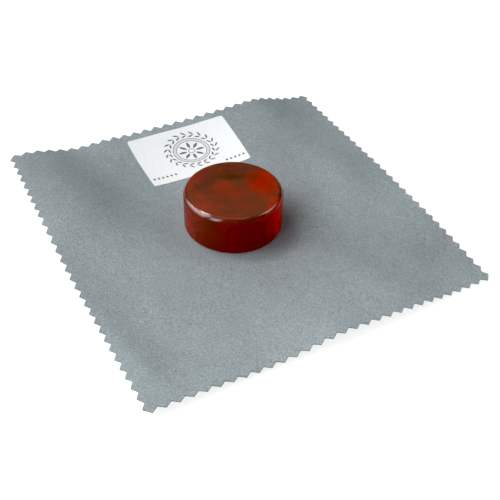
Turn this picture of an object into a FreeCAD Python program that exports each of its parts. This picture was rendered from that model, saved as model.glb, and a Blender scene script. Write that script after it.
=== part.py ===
# Rosin cake for a bowed string instrument, lying on its square wrapping cloth.
#
# The frame: the cloth lies flat in the XY plane, its underside on Z = 0 and its centre at the origin.
# X runs along the front edge, Y runs from the front edge to the edge beside the label, and Z is up.
# The cloth is pinked, so each edge is a row of V teeth. The label is a thin printed film that a
# hot-melt film bonds to the cloth. The cake is a plain cast puck that lies loose on the cloth.
import FreeCAD, Part
import os
from FreeCAD import Vector
from Sketcher import Constraint

SHEET = "Dimensions"

# The driving dimensions, in millimetres apart from the count: alias, value, meaning.
DIMENSIONS = (
    ("tooth_count", 30, "teeth along each edge of the cloth"),
    ("tooth_pitch", 5.0, "tip to tip, along the edge"),
    ("tooth_depth", 1.8, "tip to valley, across the edge"),
    ("tooth_tip", 0.2, "flat left at each tip"),
    ("notch_overrun", 0.25, "how far the notch cutter passes the edge"),
    ("cloth_thickness", 0.6, "microfibre suede"),
    ("label_width", 45.5, "along X"),
    ("label_length", 32.0, "along Y"),
    ("label_corner", 1.0, "corner radius in plan"),
    ("label_thickness", 0.12, "printed film"),
    ("label_shift", 54.5, "label's centre from the cloth's centre, along Y"),
    ("bond_thickness", 0.05, "hot-melt film under the label"),
    ("bond_inset", 0.4, "hot-melt film stops short of the label's edge"),
    ("cake_diameter", 40.8, "cast puck"),
    ("cake_height", 17.0, "base to top face"),
    ("top_round", 2.4, "radius of the poured rim"),
    ("base_round", 1.0, "radius left by the mould's floor"),
    ("cake_shift_x", -2.6, "cake's axis from the cloth's centre"),
    ("cake_shift_y", 2.8, "cake's axis from the cloth's centre"),
)

# Sketch references: the sketch's own origin, and the points that a line or a circle has.
ORIGIN = (-1, 1)
START = 1
END = 2
CENTRE = 3


def fill_sheet(doc):
    """Writes one row for each driving dimension: name, value with its alias, meaning."""
    sheet = doc.addObject("Spreadsheet::Sheet", SHEET)
    for row, (alias, value, meaning) in enumerate(DIMENSIONS, start=1):
        sheet.set(f"A{row}", alias)
        sheet.set(f"B{row}", str(value))
        sheet.setAlias(f"B{row}", alias)
        sheet.set(f"C{row}", meaning)
    doc.recompute()
    return sheet


def cell(alias):
    """The expression that reads one driving dimension."""
    return f"{SHEET}.{alias}"


def make_body(doc, label):
    body = doc.addObject("PartDesign::Body", label)
    body.Label = label
    return body


def place(body, x, y, z):
    """Binds the body's position to three expressions."""
    for axis, expression in zip("xyz", (x, y, z)):
        body.setExpression(f"Placement.Base.{axis}", expression)


def sketch_on_base(body, name):
    """An empty sketch on the body's own XY plane."""
    sketch = body.newObject("Sketcher::SketchObject", name)
    planes = [feature for feature in body.Origin.OriginFeatures if feature.Role == "XY_Plane"]
    sketch.AttachmentSupport = [(planes[0], "")]
    sketch.MapMode = "FlatFace"
    return sketch


def add_polygon(sketch, points):
    """Closed lines through the points. Line number k starts at point number k."""
    for start, end in zip(points, points[1:] + points[:1]):
        sketch.addGeometry(Part.LineSegment(start, end), False)
    for line in range(len(points)):
        following = (line + 1) % len(points)
        sketch.addConstraint(Constraint("Coincident", line, END, following, START))


def bind(sketch, constraint, name, expression):
    """Adds a named dimension and ties it to an expression."""
    index = sketch.addConstraint(constraint)
    sketch.renameConstraint(index, name)
    sketch.setExpression(f"Constraints.{name}", expression)


def add_rectangle(sketch, width, length):
    """A rectangle about the sketch's origin. The solver moves it from any size to the bound one."""
    any_size = 10.0
    signs = ((-1, -1), (1, -1), (1, 1), (-1, 1))
    add_polygon(sketch, [Vector(x * any_size, y * any_size, 0) for x, y in signs])
    for front_or_back in (0, 2):
        sketch.addConstraint(Constraint("Horizontal", front_or_back))
    for right_or_left in (1, 3):
        sketch.addConstraint(Constraint("Vertical", right_or_left))
    sketch.addConstraint(Constraint("Symmetric", 0, START, 1, END, *ORIGIN))
    bind(sketch, Constraint("DistanceX", 0, START, 0, END, 2 * any_size), "width", width)
    bind(sketch, Constraint("DistanceY", 1, START, 1, END, 2 * any_size), "length", length)


def pad(body, sketch, name, thickness):
    feature = body.newObject("PartDesign::Pad", name)
    feature.Profile = sketch
    feature.setExpression("Length", thickness)
    body.Document.recompute()
    return feature


def round_or_cut(body, kind, name, base, edges, parameter, expression):
    """Fillets or chamfers the named edges of the body's last feature."""
    feature = body.newObject(f"PartDesign::{kind}", name)
    feature.Base = (base, edges)
    feature.setExpression(parameter, expression)
    body.Document.recompute()
    return feature


def upright_edges(shape):
    """Names of the straight edges that run along Z."""
    directions = [edge.tangentAt(edge.FirstParameter) for edge in shape.Edges]
    return [f"Edge{number}" for number, way in enumerate(directions, start=1) if abs(way.z) > 0.99]


def circle_at(shape, height):
    """Name of the circular edge that lies at one height."""
    for number, edge in enumerate(shape.Edges, start=1):
        if isinstance(edge.Curve, Part.Circle) and abs(edge.Curve.Center.z - height) < 1e-6:
            return f"Edge{number}"
    raise RuntimeError(f"no circle at {height} mm")


def make_square(body):
    """The cloth before pinking: a square whose corners are cut through the last tooth's tip."""
    side = f"{cell('tooth_count')} * {cell('tooth_pitch')}"
    outline = sketch_on_base(body, "ClothOutline")
    add_rectangle(outline, side, side)
    square = pad(body, outline, "ClothSheet", cell("cloth_thickness"))
    corners = upright_edges(square.Shape)
    return round_or_cut(body, "Chamfer", "ClothCorners", square, corners,
                        "Size", f"{cell('tooth_pitch')} / 2")


def notch_outline(body, sheet):
    """The cutter for the back edge's leftmost notch: a triangle whose lowest point is the valley."""
    outline = sketch_on_base(body, "NotchOutline")
    edge = sheet.tooth_count * sheet.tooth_pitch / 2
    middle = sheet.tooth_pitch - edge
    reach = sheet.tooth_pitch / 2
    triangle = [
        Vector(middle, edge - sheet.tooth_depth, 0),
        Vector(middle + reach, edge + sheet.notch_overrun, 0),
        Vector(middle - reach, edge + sheet.notch_overrun, 0),
    ]
    add_polygon(outline, triangle)
    outline.addConstraint(Constraint("Horizontal", 1))
    outline.addConstraint(Constraint("Equal", 0, 2))

    half = f"{cell('tooth_count')} * {cell('tooth_pitch')} / 2"
    rise = f"({cell('tooth_depth')} + {cell('notch_overrun')})"
    slope = f"({cell('tooth_pitch')} - {cell('tooth_tip')}) / {cell('tooth_depth')}"
    bind(outline, Constraint("DistanceX", 0, START, *ORIGIN, -middle), "first_notch",
         f"{half} - {cell('tooth_pitch')}")
    bind(outline, Constraint("DistanceY", *ORIGIN, 0, START, edge), "valley",
         f"{half} - {cell('tooth_depth')}")
    bind(outline, Constraint("DistanceY", 0, START, 1, START, sheet.tooth_depth), "rise", rise)
    bind(outline, Constraint("DistanceX", 1, END, 1, START, 2 * reach), "mouth", f"{rise} * {slope}")
    return outline


def make_cloth(doc, sheet):
    """The pinked square: one V notch between each two teeth, repeated along and around the edges."""
    body = make_body(doc, "pinked_cloth")
    make_square(body)
    outline = notch_outline(body, sheet)

    notch = body.newObject("PartDesign::Pocket", "Notch")
    notch.Profile = outline
    notch.Type = "ThroughAll"
    notch.Midplane = True
    doc.recompute()

    teeth = body.newObject("PartDesign::MultiTransform", "Teeth")
    teeth.Originals = [notch]
    along = body.newObject("PartDesign::LinearPattern", "AlongEdge")
    along.Direction = (outline, ["H_Axis"])
    along.setExpression("Length", f"({cell('tooth_count')} - 2) * {cell('tooth_pitch')}")
    along.setExpression("Occurrences", f"{cell('tooth_count')} - 1")
    around = body.newObject("PartDesign::PolarPattern", "AroundCloth")
    around.Axis = (outline, ["N_Axis"])
    around.Angle = 360
    around.Occurrences = 4
    teeth.Transformations = [along, around]
    body.Tip = teeth
    return body


def make_film(doc, label, thickness, inset, height):
    """A thin rounded rectangle where the label lies, with its edge drawn in by the inset."""
    body = make_body(doc, label)
    outline = sketch_on_base(body, f"{label}_outline")
    add_rectangle(outline, f"{cell('label_width')} - 2 * {inset}", f"{cell('label_length')} - 2 * {inset}")
    film = pad(body, outline, f"{label}_sheet", thickness)
    round_or_cut(body, "Fillet", f"{label}_corners", film, upright_edges(film.Shape),
                 "Radius", f"{cell('label_corner')} - {inset}")
    place(body, "0", cell("label_shift"), height)
    return body


def make_bond_film(doc):
    return make_film(doc, "label_bond_film", cell("bond_thickness"), cell("bond_inset"),
                     cell("cloth_thickness"))


def make_label(doc):
    return make_film(doc, "cloth_label", cell("label_thickness"), "0",
                     f"{cell('cloth_thickness')} + {cell('bond_thickness')}")


def make_cake(doc):
    """The cast puck: a disc with a well rounded poured rim and a barely rounded base rim."""
    body = make_body(doc, "rosin_cake")
    outline = sketch_on_base(body, "CakeOutline")
    any_radius = 10.0
    outline.addGeometry(Part.Circle(Vector(0, 0, 0), Vector(0, 0, 1), any_radius), False)
    outline.addConstraint(Constraint("Coincident", 0, CENTRE, *ORIGIN))
    bind(outline, Constraint("Diameter", 0, 2 * any_radius), "diameter", cell("cake_diameter"))
    disc = pad(body, outline, "CakeDisc", cell("cake_height"))
    top = round_or_cut(body, "Fillet", "PouredRim", disc, [circle_at(disc.Shape, disc.Length.Value)],
                       "Radius", cell("top_round"))
    round_or_cut(body, "Fillet", "BaseRim", top, [circle_at(top.Shape, 0.0)],
                 "Radius", cell("base_round"))
    place(body, cell("cake_shift_x"), cell("cake_shift_y"), cell("cloth_thickness"))
    return body


def check_parts(doc, parts):
    """Stops the build if a feature failed, or if a part isn't one valid solid."""
    for item in doc.Objects:
        if {"Invalid", "Error"} & set(item.State):
            raise RuntimeError(f"{item.Name} failed: {item.State}")
    for part in parts:
        shape = part.Shape
        if shape.isNull() or not shape.isValid() or len(shape.Solids) != 1:
            raise RuntimeError(f"{part.Label} isn't one valid solid")


def check_notches(sheet, cloth):
    """Compares the cloth's volume with a plain square's, less its corners and notches."""
    side = sheet.tooth_count * sheet.tooth_pitch
    notch = sheet.tooth_depth * (sheet.tooth_pitch - sheet.tooth_tip) / 2
    corner = (sheet.tooth_pitch / 2) ** 2 / 2
    area = side**2 - 4 * (sheet.tooth_count - 1) * notch - 4 * corner
    expected = area * sheet.cloth_thickness
    if abs(cloth.Shape.Volume - expected) > 0.001 * expected:
        raise RuntimeError(f"the cloth holds {cloth.Shape.Volume:.1f} mm3, not {expected:.1f} mm3")


def main():
    doc = FreeCAD.newDocument("RosinCake")
    sheet = fill_sheet(doc)
    cloth = make_cloth(doc, sheet)
    parts = [cloth, make_bond_film(doc), make_label(doc), make_cake(doc)]
    doc.recompute()
    check_parts(doc, parts)
    check_notches(sheet, cloth)
    os.makedirs("parts", exist_ok=True)
    for part in parts:
        part.Shape.exportStep(f"parts/{part.Label}.step")
        print(f"{part.Label}: {part.Shape.Volume:.1f} mm3")


main()
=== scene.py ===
# The looks of a cake of rosin that lies on its pinked suede cloth.
#
# Lengths in this script are in millimetres until a mesh or an object is made, and then in metres.
# The cloth, its label and the label's print are all laid out flat and then follow one lie of the cloth.
import math

import bpy
import numpy as np
from mathutils import Matrix, Vector, noise


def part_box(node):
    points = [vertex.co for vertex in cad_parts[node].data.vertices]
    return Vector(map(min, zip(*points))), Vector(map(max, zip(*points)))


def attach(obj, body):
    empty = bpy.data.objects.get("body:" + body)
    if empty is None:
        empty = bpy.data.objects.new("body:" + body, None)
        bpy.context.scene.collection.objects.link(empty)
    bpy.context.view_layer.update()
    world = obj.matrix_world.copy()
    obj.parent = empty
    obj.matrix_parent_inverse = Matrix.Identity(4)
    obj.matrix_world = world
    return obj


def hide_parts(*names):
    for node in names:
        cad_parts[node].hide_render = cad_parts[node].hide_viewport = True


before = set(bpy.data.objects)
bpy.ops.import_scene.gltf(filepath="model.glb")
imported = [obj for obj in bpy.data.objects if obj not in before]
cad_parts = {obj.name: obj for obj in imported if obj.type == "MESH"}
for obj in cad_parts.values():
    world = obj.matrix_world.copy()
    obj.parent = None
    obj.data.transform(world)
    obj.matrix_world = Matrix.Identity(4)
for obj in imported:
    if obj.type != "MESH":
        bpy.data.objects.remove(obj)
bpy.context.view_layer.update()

METRE = 0.001  # one millimetre in Blender's unit


def node_box(node):
    """A CAD node's lowest and highest corners, in millimetres."""
    low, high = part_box(node)
    return np.array(low) / METRE, np.array(high) / METRE


CLOTH_HIGH = node_box("pinked_cloth")[1]
CAKE_LOW, CAKE_HIGH = node_box("rosin_cake")
LABEL_LOW, LABEL_HIGH = node_box("cloth_label")
FILM_LOW, FILM_HIGH = node_box("label_bond_film")

CAKE_CENTRE = (CAKE_LOW[:2] + CAKE_HIGH[:2]) / 2
CAKE_RADIUS = (CAKE_HIGH[0] - CAKE_LOW[0]) / 2
LABEL_CENTRE = (LABEL_LOW[:2] + LABEL_HIGH[:2]) / 2

VIEW_AZIMUTH = -29.2
VIEW_ELEVATION = 41.8
VIEW_ROLL = 1.5
VIEW_DISTANCE = 342.5
VIEW_TARGET = (-4.5, -15.7, 0.0)
LENS = 61.0
NEAREST_SEEN = 10.0

# ---------------------------------------------------------------------------------------------------
# How the limp cloth lies
# ---------------------------------------------------------------------------------------------------

# Each fold is a smooth swell along a line: the line's two ends, its reach across, its height.
# They are given in round numbers.
FOLDS = {
    "rear_left_corner": ((-70, 75), (-65, 35), 25, 10),
    "back_edge": ((-25, 85), (40, 80), 20, 7),
    "right_rear": ((40, 50), (50, 10), 20, 4),
    "front_edge": ((5, -70), (25, -60), 25, 4),
    "front_left_corner": ((-80, -75), (-55, -80), 20, 3),
    "left_edge": ((-80, 10), (-70, -55), 10, 2),
}
# Each pull drags the cloth in its own plane: centre, reach, shift.
PULLS = {
    "front_right_corner": ((80, -75), 30, (-3, 1)),
    "left_edge": ((-80, 25), 40, (-1, 0)),
    "beside_label": ((30, 60), 30, (3, -2)),
}
FLAT_MARGIN = 1.0  # the cloth is flat this far outside the cake
FLAT_FADE = 14.0  # and lifts freely this much farther out
RUMPLE_HEIGHT = 0.35  # slight waves that the hand leaves in the cloth
RUMPLE_LENGTH = 17.0
RUMPLE_RAISE = 0.5  # the waves are raised by this share of their height, so that they rarely dip
NOISE_SLICE = 0.5  # the height at which the solid noise is cut
SLOPE_STEP = 0.5  # the cloth's slope is measured over this length
PRESSED_NAP = 0.06  # the cake's weight presses the nap down by this much
PRESSED_INSET = 0.4  # fully from this far inside the cake's side
PRESSED_FADE = 1.0  # and not at all from this much farther out


def smooth(t):
    t = np.clip(t, 0, 1)
    return t * t * (3 - 2 * t)


def fold_height(points, fold):
    start, end, reach, height = fold
    way = np.array(end, float) - start
    along = np.clip((points - start) @ way / (way @ way), 0, 1)
    across = np.linalg.norm(points - start - along[:, None] * way, axis=1)
    return height * np.exp(-((across / reach) ** 2))


def rumple(points):
    scaled = points / RUMPLE_LENGTH
    waves = [noise.noise(Vector((x, y, NOISE_SLICE))) for x, y in scaled]
    return RUMPLE_HEIGHT * (RUMPLE_RAISE + np.array(waves))


def lift(points):
    """Height of the cloth's underside above the table. It is flat under the cake."""
    away = np.linalg.norm(points - CAKE_CENTRE, axis=1) - CAKE_RADIUS - FLAT_MARGIN
    free = smooth(away / FLAT_FADE)
    return free * (rumple(points) + sum(fold_height(points, fold) for fold in FOLDS.values()))


def pull(points):
    total = np.zeros_like(points)
    for centre, reach, shift in PULLS.values():
        squared = np.sum((points - np.array(centre)) ** 2, axis=1)
        total += np.exp(-squared / reach**2)[:, None] * np.array(shift)
    return total


def lie(flat, level):
    """Where points of the flat pattern come to lie, at a level above the cloth's underside."""
    flat = np.asarray(flat, float).reshape(-1, 2)
    height = lift(flat)
    inside = CAKE_RADIUS - PRESSED_INSET - np.linalg.norm(flat - CAKE_CENTRE, axis=1)
    pressed = smooth((inside + PRESSED_FADE) / PRESSED_FADE)
    level = level * (1 - pressed * PRESSED_NAP / CLOTH_HIGH[2])
    slope_x = (lift(flat + (SLOPE_STEP, 0)) - height) / SLOPE_STEP
    slope_y = (lift(flat + (0, SLOPE_STEP)) - height) / SLOPE_STEP
    normal = np.stack((-slope_x, -slope_y, np.ones(len(flat))), axis=1)
    normal /= np.linalg.norm(normal, axis=1)[:, None]
    base = np.column_stack((flat + pull(flat), height))
    return base + normal * level[:, None]


# ---------------------------------------------------------------------------------------------------
# Mesh helpers
# ---------------------------------------------------------------------------------------------------


def make_object(name, points, faces, material, shade_smooth=True):
    """A mesh object from millimetre points."""
    mesh = bpy.data.meshes.new(name)
    mesh.from_pydata([tuple(p) for p in np.asarray(points) * METRE], [], faces)
    mesh.validate()
    mesh.update()
    mesh.polygons.foreach_set("use_smooth", [shade_smooth] * len(mesh.polygons))
    mesh.materials.append(material)
    made = bpy.data.objects.new(name, mesh)
    bpy.context.scene.collection.objects.link(made)
    return made


def rim_edges(faces):
    """The directed edges that only one face uses."""
    directed = {(a, b) for face in faces for a, b in zip(face, face[1:] + face[:1])}
    return [(a, b) for a, b in sorted(directed) if (b, a) not in directed]


def laid_sheet(name, flat, faces, low, high, material):
    """A closed thin solid: the flat pattern laid on the cloth between two levels."""
    count = len(flat)
    points = np.vstack((lie(flat, high), lie(flat, low)))
    under = [tuple(count + i for i in reversed(face)) for face in faces]
    walls = [(b, a, count + a, count + b) for a, b in rim_edges(faces)]
    made = make_object(name, points, faces + under + walls, material)
    made.data.polygons.foreach_set("use_smooth", [True] * (2 * len(faces)) + [False] * len(walls))
    keep_walls_sharp(made.data, len(walls))
    return made


def keep_walls_sharp(mesh, wall_count):
    """Marks the cut edges sharp, so that the smooth faces end there."""
    wall_faces = list(mesh.polygons)[-wall_count:]
    wall_edges = {key for face in wall_faces for key in face.edge_keys}
    sharp = [tuple(sorted(edge.vertices)) in wall_edges for edge in mesh.edges]
    attribute = mesh.attributes.new("sharp_edge", "BOOLEAN", "EDGE")
    attribute.data.foreach_set("value", sharp)


# ---------------------------------------------------------------------------------------------------
# Flat patterns: each returns its plan points and its faces, counter-clockwise from above
# ---------------------------------------------------------------------------------------------------

TEETH = 30  # along each side, as in the CAD part
TOOTH_DEPTH = 1.8  # as in the CAD part
CELLS_PER_TOOTH = 4


def pinked_square():
    """The cloth's pattern: a square grid, framed by a row of cells that reach out into the teeth."""
    half = CLOTH_HIGH[0]
    pitch = 2 * half / TEETH
    inner = half - pitch / 2
    cells = (TEETH - 1) * CELLS_PER_TOOTH
    ticks = np.linspace(-inner, inner, cells + 1)
    grid_x, grid_y = np.meshgrid(ticks, ticks)
    points = [tuple(p) for p in np.column_stack((grid_x.ravel(), grid_y.ravel()))]
    row = cells + 1
    faces = [
        (j * row + i, j * row + i + 1, (j + 1) * row + i + 1, (j + 1) * row + i)
        for j in range(cells)
        for i in range(cells)
    ]

    # One side at a time, counter-clockwise: front, right, back, left.
    phase = np.abs(((ticks + inner) / pitch) % 1 - 0.5) * 2  # 1 at a tooth's tip, 0 in a valley
    reach = half - TOOTH_DEPTH * (1 - phase)
    sides = (
        (range(row), 0),
        (range(cells, row * row, row), 1),
        (range(row * row - 1, row * row - row - 1, -1), 2),
        (range(row * row - row, -1, -row), 3),
    )
    corner_tips = []
    for indices, quarter_turns in sides:
        turn = quarter_turns * math.pi / 2
        start = len(points)
        for tick, out in zip(ticks, reach):
            x = tick * math.cos(turn) + out * math.sin(turn)
            y = tick * math.sin(turn) - out * math.cos(turn)
            points.append((x, y))
        inside = list(indices)
        for k in range(cells):
            faces.append((start + k, start + k + 1, inside[k + 1], inside[k]))
        corner_tips.append((start, start + cells, inside[0]))
    for side in range(4):
        last_tip = corner_tips[side][1]
        first_tip, _, corner = corner_tips[(side + 1) % 4]
        faces.append((last_tip, first_tip, corner))
    return np.array(points), faces


def ringed(outline, centre, rings):
    """Fills an outline with shrinking copies of itself about its centre."""
    outline = np.asarray(outline, float)
    centre = np.asarray(centre, float)
    count = len(outline)
    points = [centre + (outline - centre) * (rings - ring) / rings for ring in range(rings)]
    points = np.vstack(points + [centre[None]])
    faces = []
    for ring in range(rings - 1):
        for i in range(count):
            j = (i + 1) % count
            outer, inner = ring * count, (ring + 1) * count
            faces.append((outer + i, outer + j, inner + j, inner + i))
    last = (rings - 1) * count
    faces += [(last + i, last + (i + 1) % count, rings * count) for i in range(count)]
    return points, faces


def rounded_rectangle(centre, size, radius, step=1.5, corner_steps=6):
    """Outline with evenly spaced points along its sides and an arc at each corner."""
    outline = []
    half = np.asarray(size) / 2
    for quarter, (sx, sy) in enumerate(((1, -1), (1, 1), (-1, 1), (-1, -1))):
        corner = np.array((sx, sy)) * (half - radius)
        angles = np.radians(np.linspace(-90, 0, corner_steps + 1) + 90 * quarter)
        arc = corner + radius * np.column_stack((np.cos(angles), np.sin(angles)))
        outline += list(arc)
        following = ((1, 1), (-1, 1), (-1, -1), (1, -1))[quarter]
        next_corner = np.array(following) * (half - radius)
        next_start = next_corner + radius * np.array((math.cos(angles[-1]), math.sin(angles[-1])))
        gaps = max(1, round(np.linalg.norm(next_start - arc[-1]) / step))
        for k in range(1, gaps):
            outline.append(arc[-1] + (next_start - arc[-1]) * k / gaps)
    return np.asarray(centre) + np.array(outline)


def band(centre, radius, width, steps=96):
    """A ring of even width."""
    angles = np.linspace(0, 2 * math.pi, steps, endpoint=False)
    way = np.column_stack((np.cos(angles), np.sin(angles)))
    outer = np.asarray(centre) + way * (radius + width / 2)
    inner = np.asarray(centre) + way * (radius - width / 2)
    faces = [(i, (i + 1) % steps, steps + (i + 1) % steps, steps + i) for i in range(steps)]
    return np.vstack((outer, inner)), faces


LEAF_BLUNTNESS = 0.8  # below 1, a leaf swells sooner behind its points


def leaf(base, angle, length, width, steps=7):
    """A pointed leaf from its base along an angle."""
    t = np.linspace(0, 1, steps)
    half_width = width / 2 * np.sin(math.pi * t) ** LEAF_BLUNTNESS
    right = np.column_stack((t * length, -half_width))
    left = np.column_stack((t * length, half_width))[-2:0:-1]
    outline = np.vstack((right, left))
    turn = np.array(((math.cos(angle), math.sin(angle)), (-math.sin(angle), math.cos(angle))))
    outline = np.asarray(base) + outline @ turn
    return ringed(outline, outline.mean(axis=0), 1)


def joined(patterns):
    """Several patterns as one list of points and faces."""
    points, faces, count = [], [], 0
    for pattern_points, pattern_faces in patterns:
        points.append(pattern_points)
        faces += [tuple(count + i for i in face) for face in pattern_faces]
        count += len(pattern_points)
    return np.vstack(points), faces


# ---------------------------------------------------------------------------------------------------
# Materials
# ---------------------------------------------------------------------------------------------------


WHITE = (1.0, 1.0, 1.0)
BLACK = (0.0, 0.0, 0.0)


def add_node(tree, kind, inputs, settings):
    """A new node, with each input set to a plain value or linked to another node's socket."""
    node = tree.nodes.new(kind)
    for name, value in settings.items():
        setattr(node, name, value)
    for name, value in inputs.items():
        if isinstance(value, bpy.types.NodeSocket):
            tree.links.new(value, node.inputs[name])
        else:
            node.inputs[name].default_value = value
    return node


class Shader:
    """A node material that is built one node at a time."""

    def __init__(self, name):
        self.material = bpy.data.materials.new(name)
        self.material.use_nodes = True
        self.tree = self.material.node_tree
        self.tree.nodes.clear()
        self.output = self.tree.nodes.new("ShaderNodeOutputMaterial")

    def add(self, kind, inputs=None, **settings):
        return add_node(self.tree, kind, inputs or {}, settings)

    def speckle(self, size, detail=2.0, roughness=0.5):
        """Noise whose grains are about this many millimetres across."""
        where = self.add("ShaderNodeTexCoord").outputs["Object"]
        return self.add("ShaderNodeTexNoise", {
            "Vector": where,
            "Scale": 1 / (size * METRE),
            "Detail": detail,
            "Roughness": roughness,
        }).outputs["Fac"]

    def ramp(self, value, low, high, dark, light):
        """Maps a value between two limits to a colour between two others."""
        ramp = self.add("ShaderNodeValToRGB", {"Fac": value})
        ramp.color_ramp.elements[0].position = low
        ramp.color_ramp.elements[1].position = high
        ramp.color_ramp.elements[0].color = (*dark, 1)
        ramp.color_ramp.elements[1].color = (*light, 1)
        return ramp.outputs["Color"]

    def times(self, first, second):
        """The product of two colours."""
        return self.add("ShaderNodeMix", {6: first, 7: second, "Factor": 1.0},
                        data_type="RGBA", blend_type="MULTIPLY").outputs[2]

    def bump(self, height, depth, strength):
        """Relief that is this many millimetres deep at full strength."""
        inputs = {"Height": height, "Distance": depth * METRE, "Strength": strength}
        return self.add("ShaderNodeBump", inputs).outputs["Normal"]

    def surface(self, node):
        self.tree.links.new(node.outputs[0], self.output.inputs["Surface"])

    def volume(self, node):
        self.tree.links.new(node.outputs[0], self.output.inputs["Volume"])


FULL_TINT = 0.8  # how far in, from 0 at a patch's outside to 1 at its middle, the tint is full


def soft_patch(shader, place, middle, half_size, turn, tint):
    """The tint in the middle of a soft ellipsoid, fading to white at its outside."""
    placed = shader.add("ShaderNodeMapping", {
        "Vector": place,
        "Location": tuple(value * METRE for value in middle),
        "Rotation": (0, 0, turn),
        "Scale": tuple(value * METRE for value in half_size),
    }, vector_type="TEXTURE").outputs["Vector"]
    inside = shader.add("ShaderNodeTexGradient", {"Vector": placed}, gradient_type="SPHERICAL")
    return shader.ramp(inside.outputs["Fac"], 0.0, FULL_TINT, WHITE, tint)


def ragged_place(shader, size, shift):
    """The place on the object, shifted by noise so that patches get ragged edges."""
    where = shader.add("ShaderNodeTexCoord").outputs["Object"]
    noise_colour = shader.add("ShaderNodeTexNoise", {
        "Vector": where,
        "Scale": 1 / (size * METRE),
        "Detail": 1.5,
    }).outputs["Color"]
    centred = shader.add("ShaderNodeVectorMath", {0: noise_colour, 1: (0.5, 0.5, 0.5)},
                         operation="SUBTRACT").outputs["Vector"]
    moved = shader.add("ShaderNodeVectorMath", {0: centred, "Scale": shift * METRE},
                       operation="SCALE").outputs["Vector"]
    return shader.add("ShaderNodeVectorMath", {0: where, 1: moved}, operation="ADD").outputs["Vector"]


# Patches of painted shade, where the cloth's colour is darkened as if it lay in shade: middle, half width
# and half depth, tint.
PAINTED_SHADE_PATCHES = {
    "middle": ((0, -25), (68, 66), (0.84, 0.81, 0.81)),
    # behind_cake also paints the cake's cast shadow on the cloth darker.
    "behind_cake": ((33, 40), (20, 62), (0.80, 0.78, 0.78)),
    "rear_left": ((-28, 45), (16, 30), (0.92, 0.92, 0.92)),
    "rear_left_edge": ((-74, 50), (14, 40), (0.84, 0.84, 0.84)),
    "right_edge": ((74, 60), (12, 30), (0.90, 0.88, 0.88)),
    "front_right_corner": ((68, -50), (24, 32), (0.84, 0.82, 0.82)),
}
SHADE_PATCH_HEIGHT = 60
SHADE_PATCH_RAGS = (14.0, 14.0)  # size of the rags along the patches' edges, and how far they reach


def painted_shade_patches(shader):
    """The product of the tints of every patch of painted shade."""
    ragged = ragged_place(shader, *SHADE_PATCH_RAGS)
    tint = (*WHITE, 1.0)
    for middle, half_size, patch in PAINTED_SHADE_PATCHES.values():
        size = (*half_size, SHADE_PATCH_HEIGHT)
        tint = shader.times(tint, soft_patch(shader, ragged, (*middle, 0), size, 0, patch))
    return tint


def suede_material():
    """Short-napped blue grey microfibre: fibrous grain over soft mottling, darker at a grazing view, with
    patches of painted shade.
    """
    shader = Shader("microfibre_suede")
    nap = shader.speckle(0.6, detail=3.0, roughness=0.65)
    mottle = shader.speckle(5.0, detail=2.0)
    fibres = shader.ramp(nap, 0.30, 0.70, (0.172, 0.200, 0.206), (0.354, 0.400, 0.409))
    soft = shader.ramp(mottle, 0.3, 0.7, (0.93, 0.93, 0.93), WHITE)
    away = shader.add("ShaderNodeLayerWeight", {"Blend": 0.5}).outputs["Facing"]
    nap_shade = shader.ramp(away, 0.2, 0.6, (1.10, 1.10, 1.10), (0.82, 0.82, 0.82))
    # The patches of painted shade darken the cloth's colour.
    shade = shader.times(nap_shade, painted_shade_patches(shader))
    shader.surface(shader.add("ShaderNodeBsdfPrincipled", {
        "Base Color": shader.times(shader.times(fibres, soft), shade),
        "Roughness": 0.95,
        "Specular IOR Level": 0.15,
        "Sheen Weight": 0.05,
        "Sheen Roughness": 0.4,
        "Sheen Tint": (0.85, 0.9, 0.92, 1),
        "Normal": shader.bump(nap, 0.25, 0.6),
    }))
    return shader.material


def label_material():
    """White printed film, slightly satin."""
    shader = Shader("white_film")
    grain = shader.speckle(0.8, detail=2.0)
    shader.surface(shader.add("ShaderNodeBsdfPrincipled", {
        "Base Color": shader.ramp(grain, 0.3, 0.7, (0.73, 0.73, 0.725), (0.77, 0.80, 0.795)),
        "Roughness": 0.45,
        "Specular IOR Level": 0.35,
        "Normal": shader.bump(grain, 0.02, 0.5),
    }))
    return shader.material


def ink_material():
    shader = Shader("grey_ink")
    grain = shader.speckle(0.3, detail=2.0)
    shader.surface(shader.add("ShaderNodeBsdfPrincipled", {
        "Base Color": shader.ramp(grain, 0.3, 0.7, (0.09, 0.09, 0.095), (0.14, 0.14, 0.145)),
        "Roughness": 0.5,
    }))
    return shader.material


def bond_material():
    shader = Shader("hot_melt_film")
    grain = shader.speckle(1.0)
    shader.surface(shader.add("ShaderNodeBsdfPrincipled", {
        "Base Color": shader.ramp(grain, 0.3, 0.7, (0.62, 0.61, 0.56), (0.70, 0.69, 0.65)),
        "Roughness": 0.35,
        "Coat Weight": 0.2,
    }))
    return shader.material


ROSIN_IOR = 1.53
# Absorption per millimetre of rosin, for red, green and blue.
ROSIN_ABSORPTION = (0.02, 0.25, 0.60)
DENSITY_MARGIN = 1.01  # keeps the volume's colour just above black
# Shares of the light that clouds scatter back, and scatter onwards, under the top and under the side.
TOP_HAZE, SIDE_HAZE = 0.24, 0.12
TOP_GLOW, SIDE_GLOW = 0.60, 0.50
# How far the surface faces upwards, from 0 on the side to 1 on the top, where something fades in or out.
TOP_SHARES_START = 0.85
RIM_BEGINS = (0.35, 0.55)
RIM_ENDS = (0.90, 0.99)
SIDE_TINT_ENDS = (0.3, 0.5)
GRAZING = (0.80, 0.97)  # where the view along the surface is flat enough for an untinted mirror image
AMBER_MIRROR = (1.0, 0.2, 0.1)
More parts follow.
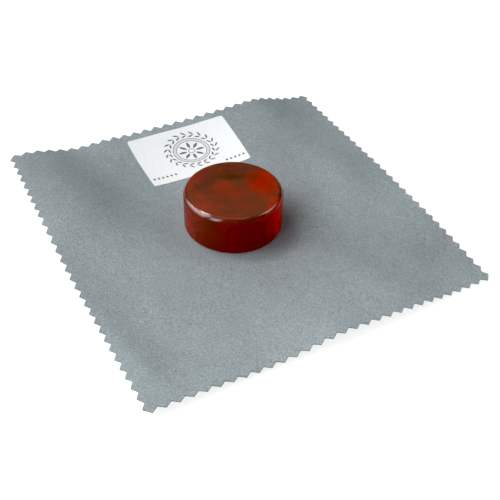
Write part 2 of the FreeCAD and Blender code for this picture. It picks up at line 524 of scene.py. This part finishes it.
# Painted light and shade in the cake, placed as the camera sees it: each patch's middle from the cake's
# axis, to the right and towards the back as the camera sees it, its half width and half depth, and its
# tint.
PAINTED_LIGHT_AND_SHADE = {
    # dark_back and dark_left are painted shade; olive paints the dark line of the back rim's contact
    # shadow seen through the cake.
    "dark_back": ((-2.0, 15.0), (15.0, 6.5), (0.52, 0.80, 0.95)),
    "dark_left": ((-14.0, 8.0), (8.0, 10.0), (0.60, 0.80, 0.95)),
    "olive": ((-1.0, 8.5), (12.0, 4.0), (0.50, 0.80, 0.60)),
    # red and red_right paint the glow of light that has crossed the cake; brown_left paints light on the
    # lit left side; warm warms the top's middle.
    "red": ((12.0, 6.5), (9.0, 12.0), (2.1, 0.48, 0.25)),
    "red_right": ((17.5, -10.0), (6.0, 9.0), (2.6, 0.8, 0.6)),
    "brown_left": ((-15.0, -12.0), (8.0, 8.0), (1.45, 1.15, 1.2)),
    "warm": ((-3.0, -1.0), (9.0, 8.0), (1.3, 0.90, 0.75)),
}
LIGHT_PATCH_HALF_HEIGHT = 16.0
LIGHT_PATCH_RAGS = (6.0, 9.0)  # size of the rags along the patches' edges, and how far they reach


def painted_light_and_shade(shader):
    """The product of every patch of painted light and shade in the cake."""
    turn = math.radians(VIEW_AZIMUTH)
    ragged = ragged_place(shader, *LIGHT_PATCH_RAGS)
    tint = (*WHITE, 1.0)
    for (right, back), (half_width, half_depth), mottle_and_painted_light in PAINTED_LIGHT_AND_SHADE.values():
        middle = (
            CAKE_CENTRE[0] + right * math.cos(turn) - back * math.sin(turn),
            CAKE_CENTRE[1] + right * math.sin(turn) + back * math.cos(turn),
            CAKE_HIGH[2],
        )
        size = (half_width, half_depth, LIGHT_PATCH_HALF_HEIGHT)
        tint = shader.times(tint, soft_patch(shader, ragged, middle, size, turn, mottle_and_painted_light))
    return tint


def rosin_haze(shader, tint):
    """Light that clouds under the surface throw back: olive to brick brown, tinted by the painted light
    and shade.
    """
    mottle_and_painted_light = shader.speckle(8.0, detail=2.0, roughness=0.5)
    brown = shader.ramp(mottle_and_painted_light, 0.35, 0.65, (0.33, 0.142, 0.074), (0.48, 0.135, 0.068))
    return shader.add("ShaderNodeBsdfDiffuse", {"Color": shader.times(brown, tint)})


def rosin_glow(shader, tint):
    """Light that has crossed the cake and is spread by the same clouds: deep red, tinted by the painted
    light and shade.
    """
    vein = shader.speckle(8.0, detail=3.0, roughness=0.55)
    red = shader.ramp(vein, 0.3, 0.7, (0.32, 0.08, 0.05), (0.70, 0.12, 0.05))
    return shader.add("ShaderNodeBsdfTranslucent", {"Color": shader.times(red, tint)})


def rosin_glass(shader, upward):
    """The clear body. Seen in the upright side, the cloth's faint mirror image takes an amber tint."""
    wave = shader.speckle(9.0, detail=1.0)
    off_top = shader.ramp(upward, *RIM_ENDS, WHITE, BLACK)
    off_side = shader.ramp(upward, *RIM_BEGINS, BLACK, WHITE)
    rim = shader.add("ShaderNodeMath", {0: off_top, 1: off_side}, operation="MULTIPLY").outputs[0]
    away = shader.add("ShaderNodeLayerWeight", {"Blend": 0.5}).outputs["Facing"]
    mirror = shader.add("ShaderNodeMath", {
        0: shader.ramp(away, *GRAZING, BLACK, WHITE),
        1: shader.ramp(upward, *SIDE_TINT_ENDS, BLACK, WHITE),
    }, operation="MAXIMUM").outputs[0]
    return shader.add("ShaderNodeBsdfPrincipled", {
        "Base Color": (*WHITE, 1.0),
        "Roughness": 0.03,
        "IOR": ROSIN_IOR,
        "Transmission Weight": 1.0,
        "Specular Tint": shader.ramp(mirror, 0.0, 1.0, AMBER_MIRROR, WHITE),
        "Coat Weight": rim,
        "Coat Roughness": 0.03,
        "Coat IOR": 1.85,
        "Coat Tint": (1.0, 0.95, 0.88, 1),
        "Normal": shader.bump(wave, 0.25, 0.5),
    })


def share_between(shader, upward, side, top):
    """One share on the side and the rim, rising to another on the top."""
    return shader.add("ShaderNodeMapRange", {
        "Value": upward,
        "From Min": TOP_SHARES_START,
        "To Min": side,
        "To Max": top,
    }).outputs["Result"]


def rosin_material():
    """Cast rosin: a glassy skin round clear amber that swallows blue and green within a few mm."""
    shader = Shader("amber_rosin")
    upward = shader.add("ShaderNodeSeparateXYZ", {
        "Vector": shader.add("ShaderNodeNewGeometry").outputs["True Normal"],
    }).outputs["Z"]
    tint = painted_light_and_shade(shader)
    body = shader.add("ShaderNodeMixShader", {
        0: share_between(shader, upward, SIDE_GLOW, TOP_GLOW),
        1: rosin_glass(shader, upward).outputs[0],
        2: rosin_glow(shader, tint).outputs[0],
    })
    shader.surface(shader.add("ShaderNodeMixShader", {
        0: share_between(shader, upward, SIDE_HAZE, TOP_HAZE),
        1: body.outputs[0],
        2: rosin_haze(shader, tint).outputs[0],
    }))
    per_metre = [value / METRE for value in ROSIN_ABSORPTION]
    density = max(per_metre) * DENSITY_MARGIN
    colour = [1 - value / density for value in per_metre]
    shader.volume(shader.add("ShaderNodeVolumeAbsorption", {
        "Color": (*colour, 1),
        "Density": density,
    }))
    return shader.material


FLOOR_GLOW = 0.80  # the floor's own light, which keeps the shadows on it faint


def floor_material():
    """A pale studio table that also glows by itself."""
    shader = Shader("pale_floor")
    grain = shader.speckle(40.0)
    shader.surface(shader.add("ShaderNodeBsdfPrincipled", {
        "Base Color": shader.ramp(grain, 0.3, 0.7, (0.28, 0.28, 0.28), (0.30, 0.30, 0.30)),
        "Roughness": 0.9,
        "Specular IOR Level": 0.1,
        "Emission Color": (1.0, 1.0, 1.0, 1),
        "Emission Strength": FLOOR_GLOW,
    }))
    return shader.material


# ---------------------------------------------------------------------------------------------------
# The cloth and what is bonded to it
# ---------------------------------------------------------------------------------------------------


def make_cloth():
    flat, faces = pinked_square()
    cloth = laid_sheet("suede_cloth", flat, faces, 0.0, CLOTH_HIGH[2], suede_material())
    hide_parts("pinked_cloth")
    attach(cloth, "cloth")


LABEL_CORNER = 1.0
FILM_CORNER = 0.6
LABEL_RINGS = 16  # rings of cells that fill the label, so that it can follow the cloth


def label_pattern(low, high, radius):
    size = (high - low)[:2]
    centre = (high + low)[:2] / 2
    return ringed(rounded_rectangle(centre, size, radius), centre, LABEL_RINGS)


def make_label():
    film_flat, film_faces = label_pattern(FILM_LOW, FILM_HIGH, FILM_CORNER)
    film = laid_sheet("bond_film", film_flat, film_faces, FILM_LOW[2], FILM_HIGH[2], bond_material())
    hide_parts("label_bond_film")
    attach(film, "cloth")

    flat, faces = label_pattern(LABEL_LOW, LABEL_HIGH, LABEL_CORNER)
    label = laid_sheet("printed_label", flat, faces, LABEL_LOW[2], LABEL_HIGH[2], label_material())
    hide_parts("cloth_label")
    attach(label, "cloth")


# Each size is a length and a width, and each start is a distance from the ornament's middle.
INK_THICKNESS = 0.02
ORNAMENT_PLACE = (1.6, 1.2)  # from the label's centre
RING_RADII = (7.9, 6.5, 1.3)
RING_WIDTH = 0.3
PETALS = 8
PETAL_START = 1.9
PETAL_SIZE = (4.0, 1.3)
STROKES = 60
STROKE_START = 6.75
STROKE_SIZE = (0.9, 0.28)
WREATH_LEAVES = 20
WREATH_RADIUS = 10.2
LEAF_SIZE = (2.8, 0.8)
LEAF_LEAN = 0.55  # in radians, to either side of the wreath's line
LEAF_OFFSET = 0.15  # how far a leaf starts beside that line
LOZENGE_ROWS = (((-15.9, -11.5), 6), ((16.9, -11.5), 5))  # place from the label's centre, and count
LOZENGE_SIZE = (1.8, 1.2)
LOZENGE_SPACING = 2.0


def around(count, shift=0.0):
    """Evenly spaced angles round a circle, each with its direction."""
    angles = [2 * math.pi * (k + shift) / count for k in range(count)]
    return [(angle, np.array((math.cos(angle), math.sin(angle)))) for angle in angles]


def wreath_and_rosette(centre):
    """A plain ornament: a rosette in a ring of fine strokes, inside a wreath of paired leaves."""
    patterns = [band(centre, radius, RING_WIDTH) for radius in RING_RADII]
    for angle, way in around(PETALS):
        patterns.append(leaf(centre + way * PETAL_START, angle, *PETAL_SIZE))
    for angle, way in around(STROKES):
        patterns.append(leaf(centre + way * STROKE_START, angle, *STROKE_SIZE, steps=4))
    for angle, way in around(WREATH_LEAVES, 0.5):
        heading = angle + math.pi / 2
        for side in (-1, 1):
            base = centre + way * (WREATH_RADIUS + LEAF_OFFSET * side)
            patterns.append(leaf(base, heading - LEAF_LEAN * side, *LEAF_SIZE))
    return patterns


def lozenge_row(centre, count):
    """A short row of upright lozenges."""
    offsets = (np.arange(count) - (count - 1) / 2) * LOZENGE_SPACING
    feet = [centre + np.array((offset, -LOZENGE_SIZE[0] / 2)) for offset in offsets]
    return [leaf(foot, math.pi / 2, *LOZENGE_SIZE, steps=3) for foot in feet]


def make_print():
    patterns = wreath_and_rosette(LABEL_CENTRE + ORNAMENT_PLACE)
    for place, count in LOZENGE_ROWS:
        patterns += lozenge_row(LABEL_CENTRE + place, count)
    flat, faces = joined(patterns)
    level = LABEL_HIGH[2]
    ink = laid_sheet("label_print", flat, faces, level - INK_THICKNESS, level + INK_THICKNESS,
                     ink_material())
    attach(ink, "cloth")


# ---------------------------------------------------------------------------------------------------
# The rosin cake
# ---------------------------------------------------------------------------------------------------

TOP_ROUND = 2.4  # as in the CAD part
BASE_ROUND = 1.0  # as in the CAD part
CAKE_SEGMENTS = 256
ARC_STEPS = 12
FACE_RINGS = 24
WALL_RINGS = 14
INNERMOST_RING = 0.5  # its radius; the face inside it is a fan of triangles


def rim_arc(radius, middle_height, start, end):
    """Radius and height along a rounded edge of the cake, between two angles in degrees."""
    angles = [math.radians(angle) for angle in np.linspace(start, end, ARC_STEPS + 1)]
    middle = CAKE_RADIUS - radius
    return [(middle + radius * math.cos(a), middle_height + radius * math.sin(a)) for a in angles]


def cake_profile():
    """Radius and height from the base's centre, round the outside, to the top's centre."""
    height = CAKE_HIGH[2] - CAKE_LOW[2]
    base = [(r, 0.0) for r in np.linspace(INNERMOST_RING, CAKE_RADIUS - BASE_ROUND, FACE_RINGS)]
    base_edge = rim_arc(BASE_ROUND, BASE_ROUND, -90, 0)[1:]
    wall = [(CAKE_RADIUS, z) for z in np.linspace(BASE_ROUND, height - TOP_ROUND, WALL_RINGS)[1:-1]]
    top_edge = rim_arc(TOP_ROUND, height - TOP_ROUND, 0, 90)
    top = [(r, height) for r in np.linspace(CAKE_RADIUS - TOP_ROUND, INNERMOST_RING, FACE_RINGS)[1:]]
    return base + base_edge + wall + top_edge + top


def make_cake():
    angles = np.linspace(0, 2 * math.pi, CAKE_SEGMENTS, endpoint=False)
    profile = cake_profile()
    points = []
    for r, z in profile:
        for angle in angles:
            points.append((r * math.cos(angle), r * math.sin(angle), z))
    rings = len(profile)
    faces = []
    for ring in range(rings - 1):
        for i in range(CAKE_SEGMENTS):
            j = (i + 1) % CAKE_SEGMENTS
            low, up = ring * CAKE_SEGMENTS, (ring + 1) * CAKE_SEGMENTS
            faces.append((low + i, low + j, up + j, up + i))
    base_centre, top_centre = len(points), len(points) + 1
    points += [(0, 0, 0), (0, 0, profile[-1][1])]
    last = (rings - 1) * CAKE_SEGMENTS
    for i in range(CAKE_SEGMENTS):
        j = (i + 1) % CAKE_SEGMENTS
        faces.append((j, i, base_centre))
        faces.append((last + i, last + j, top_centre))
    points = np.array(points) + (*CAKE_CENTRE, CAKE_LOW[2])
    cake = make_object("cast_rosin_cake", points, faces, rosin_material())
    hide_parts("rosin_cake")
    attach(cake, "cake")


# ---------------------------------------------------------------------------------------------------
# Floor, light and camera
# ---------------------------------------------------------------------------------------------------


FLOOR_HALF = 3000.0
FLOOR_DROP = 0.02  # the floor lies this far below the cloth, so that they don't touch


def make_floor():
    half, z = FLOOR_HALF, -FLOOR_DROP
    corners = [(-half, -half, z), (half, -half, z), (half, half, z), (-half, half, z)]
    floor = make_object("floor", corners, [(0, 1, 2, 3)], floor_material())


# Each soft light of the studio is a panel on the sky. Its azimuth's middle from +X, its half width and
# the width of its fading edge; then the elevations where it begins, is full, and ends; its radiance.
STUDIO_PANELS = {
    "left": (150, 24, 10, (-25, 45, 55, 66), 5.8),
    "left_front": (200, 8, 6, (-10, 45, 55, 64), 5.0),
    "top_strip": (61, 45, 15, (66, 70, 73, 77), 3.0),
    "lamp": (112, 12, 8, (54, 58, 63, 68), 19.0),
    "right": (-10, 12, 14, (25, 42, 54, 66), 3.0),
}
STUDIO_DIM = 0.04  # radiance of the rest of the room
STUDIO_COLOUR = (0.97, 0.98, 1.0, 1)
BACKDROP = 1.05  # the camera sees this beyond the floor
BLACK_LEVEL = 0.012  # radiance that shows as black


class Sky:
    """The world's shader, built one node at a time."""

    def __init__(self):
        self.world = bpy.data.worlds.new("studio")
        self.world.use_nodes = True
        self.tree = self.world.node_tree

    def add(self, kind, inputs, output=0, **settings):
        return add_node(self.tree, kind, inputs, settings).outputs[output]

    def math(self, operation, first, second=0.0):
        return self.add("ShaderNodeMath", {0: first, 1: second}, operation=operation)

    def fade(self, angle, dark, full):
        """Rises smoothly from 0 at one angle to 1 at another, in degrees."""
        return self.add("ShaderNodeMapRange", {
            "Value": angle,
            "From Min": math.radians(dark),
            "From Max": math.radians(full),
        }, interpolation_type="SMOOTHSTEP")

    def panel(self, way, middle, half_width, edge, heights, radiance):
        turned = self.add("ShaderNodeVectorRotate", {
            "Vector": way,
            "Angle": math.radians(-middle),
        }, rotation_type="Z_AXIS")
        parts = add_node(self.tree, "ShaderNodeSeparateXYZ", {0: turned}, {}).outputs
        aside = self.math("ABSOLUTE", self.math("ARCTAN2", parts["Y"], parts["X"]))
        height = self.math("ARCSINE", parts["Z"])
        shape = self.fade(aside, half_width + edge, half_width)
        shape = self.math("MULTIPLY", shape, self.fade(height, heights[0], heights[1]))
        shape = self.math("MULTIPLY", shape, self.fade(height, heights[3], heights[2]))
        return self.math("MULTIPLY", shape, radiance)


def make_light():
    """Soft lights painted on a dim sky, which light the whole floor evenly."""
    sky = Sky()
    way = sky.add("ShaderNodeTexCoord", {}, output="Generated")
    total = STUDIO_DIM
    for panel in STUDIO_PANELS.values():
        total = sky.math("ADD", sky.panel(way, *panel), total)
    seen = sky.add("ShaderNodeMix", {
        0: sky.add("ShaderNodeLightPath", {}, output="Is Camera Ray"),
        2: total,
        3: BACKDROP,
    })
    background = sky.tree.nodes["Background"]
    background.inputs["Color"].default_value = STUDIO_COLOUR
    sky.tree.links.new(seen, background.inputs["Strength"])
    bpy.context.scene.world = sky.world
    set_contrast()


def set_contrast():
    """Plain colours, with the very darkest tones shown as black."""
    view = bpy.context.scene.view_settings
    view.view_transform = "Standard"
    view.use_curve_mapping = True
    view.curve_mapping.black_level = (BLACK_LEVEL, BLACK_LEVEL, BLACK_LEVEL)
    view.curve_mapping.update()


def make_camera():
    """The camera looks down at the cloth from the front left and is rolled a little."""
    azimuth, elevation = math.radians(VIEW_AZIMUTH), math.radians(VIEW_ELEVATION)
    back = Vector((
        math.sin(azimuth) * math.cos(elevation),
        -math.cos(azimuth) * math.cos(elevation),
        math.sin(elevation),
    ))
    data = bpy.data.cameras.new("camera")
    data.lens = LENS
    data.clip_start = NEAREST_SEEN * METRE
    camera = bpy.data.objects.new("camera", data)
    bpy.context.scene.collection.objects.link(camera)
    roll = Matrix.Rotation(math.radians(VIEW_ROLL), 4, "Z")
    aim = (-back).to_track_quat("-Z", "Y").to_matrix().to_4x4()
    place = (Vector(VIEW_TARGET) + back * VIEW_DISTANCE) * METRE
    camera.matrix_world = Matrix.Translation(place) @ aim @ roll
    bpy.context.scene.camera = camera


make_cloth()
make_label()
make_print()
make_cake()
make_floor()
make_light()
make_camera()
